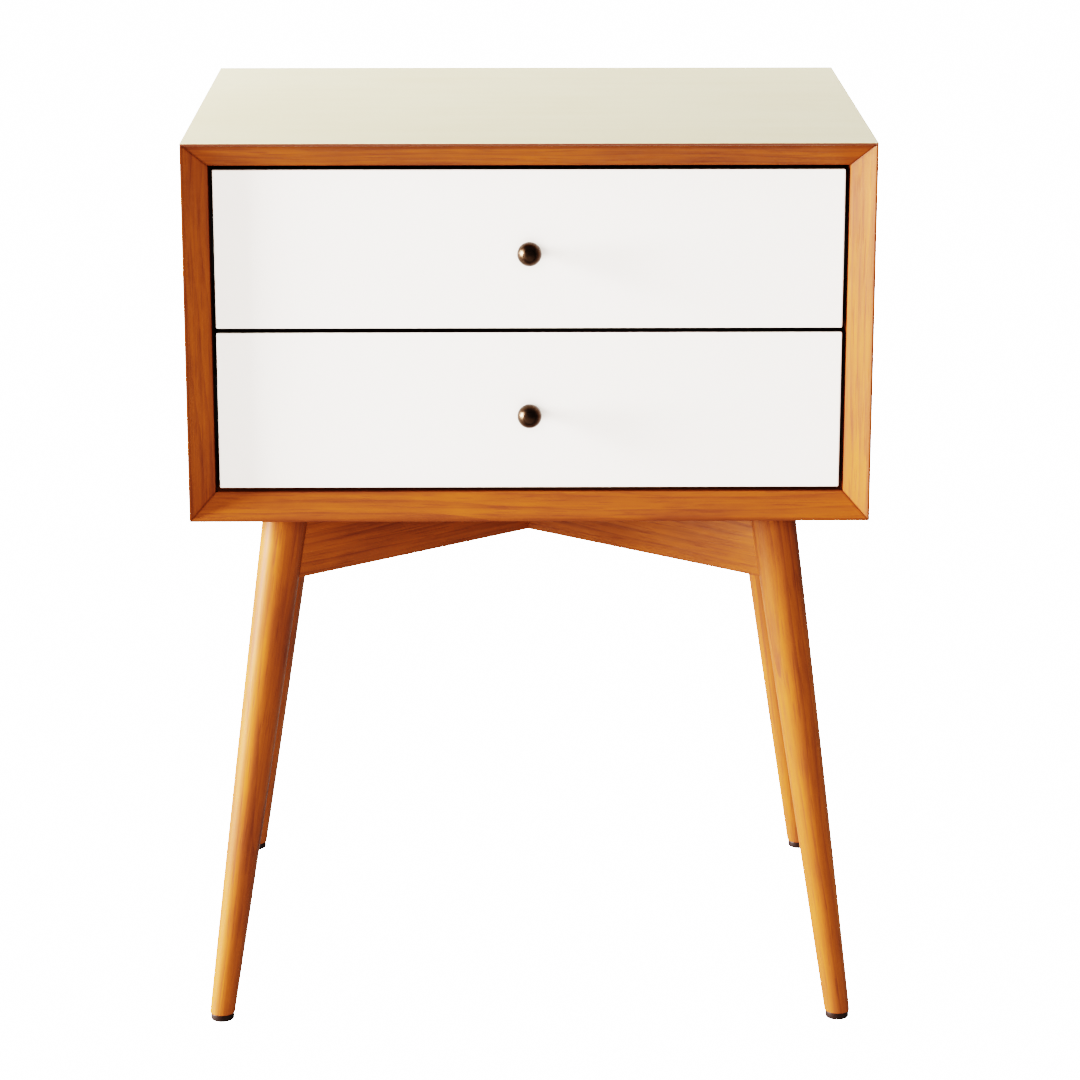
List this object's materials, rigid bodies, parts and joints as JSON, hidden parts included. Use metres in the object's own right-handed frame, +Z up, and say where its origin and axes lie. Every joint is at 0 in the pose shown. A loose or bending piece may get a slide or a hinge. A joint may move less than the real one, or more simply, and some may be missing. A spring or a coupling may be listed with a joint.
{
  "type": "nightstand with drawers",
  "caption": "Small bedside cabinet with recessed drawers in a bevelled wooden frame, on splayed round legs joined by crossed rails.",
  "frame": {"origin": "on the floor, in the middle of the whole object's box", "axes": "+X to the right of someone facing the drawers, +Y to the back, +Z up"},
  "size_m": [0.457, 0.3628, 0.618],
  "materials": {
    "cream_lacquer": "satin off-white lacquer, no visible grain",
    "white_lacquer": "satin white lacquer, no visible grain",
    "stained_wood": "acorn-brown stained wood, satin clear lacquer",
    "stained_veneer": "acorn-brown stained wood veneer, satin",
    "hardboard": "brown hardboard, smooth side out",
    "raw_beech": "unfinished beech",
    "birch_plywood": "clear-lacquered birch plywood",
    "antique_bronze": "dark antique bronze plating, polished",
    "zinc_steel": "bright zinc plating",
    "black_steel": "black electro-coated steel",
    "brown_plastic": "dark brown moulded plastic",
    "rubber": "black moulded rubber"
  },
  "bodies": {
    "case": {"back_panel": "hardboard", "back_panel_screws": "zinc_steel", "base_bolts": "zinc_steel", "bottom_panel": "stained_veneer", "cross_rail_lower": "stained_wood", "cross_rail_upper": "stained_wood", "drawer_bumpers": "rubber", "front_frame_bottom": "stained_wood", "front_frame_left": "stained_wood", "front_frame_right": "stained_wood", "front_frame_top": "stained_wood", "front_left_glide": "brown_plastic", "front_left_leg": "stained_wood", "front_right_glide": "brown_plastic", "front_right_leg": "stained_wood", "left_side_panel": "stained_veneer", "leg_dowels": "raw_beech", "lower_left_slide_cabinet": "black_steel", "lower_right_slide_cabinet": "black_steel", "mitre_splines": "raw_beech", "rear_left_glide": "brown_plastic", "rear_left_leg": "stained_wood", "rear_right_glide": "brown_plastic", "rear_right_leg": "stained_wood", "right_side_panel": "stained_veneer", "slide_cabinet_screws": "zinc_steel", "threaded_inserts": "zinc_steel", "top_panel": "stained_veneer", "top_sheet": "cream_lacquer", "upper_left_slide_cabinet": "black_steel", "upper_right_slide_cabinet": "black_steel"},
    "upper_drawer": {"upper_box_back": "birch_plywood", "upper_box_bottom": "birch_plywood", "upper_box_front": "birch_plywood", "upper_box_left": "birch_plywood", "upper_box_right": "birch_plywood", "upper_front": "white_lacquer", "upper_front_screws": "zinc_steel", "upper_knob": "antique_bronze", "upper_knob_screw": "zinc_steel", "upper_left_slide_drawer": "black_steel", "upper_right_slide_drawer": "black_steel", "upper_slide_screws": "zinc_steel"},
    "lower_drawer": {"lower_box_back": "birch_plywood", "lower_box_bottom": "birch_plywood", "lower_box_front": "birch_plywood", "lower_box_left": "birch_plywood", "lower_box_right": "birch_plywood", "lower_front": "white_lacquer", "lower_front_screws": "zinc_steel", "lower_knob": "antique_bronze", "lower_knob_screw": "zinc_steel", "lower_left_slide_drawer": "black_steel", "lower_right_slide_drawer": "black_steel", "lower_slide_screws": "zinc_steel"},
    "upper_slide_middles": {"upper_left_slide_middle": "black_steel", "upper_right_slide_middle": "black_steel"},
    "lower_slide_middles": {"lower_left_slide_middle": "black_steel", "lower_right_slide_middle": "black_steel"}
  },
  "joints": [
    {"name": "upper_drawer_slide", "type": "slide", "parent": "case", "child": "upper_drawer", "axis": [0, -1, 0], "range_m": [0, 0.29]},
    {"name": "upper_middle_slide", "type": "slide", "parent": "case", "child": "upper_slide_middles", "axis": [0, -1, 0], "range_m": [0, 0.145]},
    {"name": "lower_drawer_slide", "type": "slide", "parent": "case", "child": "lower_drawer", "axis": [0, -1, 0], "range_m": [0, 0.29]},
    {"name": "lower_middle_slide", "type": "slide", "parent": "case", "child": "lower_slide_middles", "axis": [0, -1, 0], "range_m": [0, 0.145]}
  ],
  "couplings": [
    {"joint": "upper_middle_slide", "follows": "upper_drawer_slide", "ratio": 0.5},
    {"joint": "lower_middle_slide", "follows": "lower_drawer_slide", "ratio": 0.5}
  ]
}
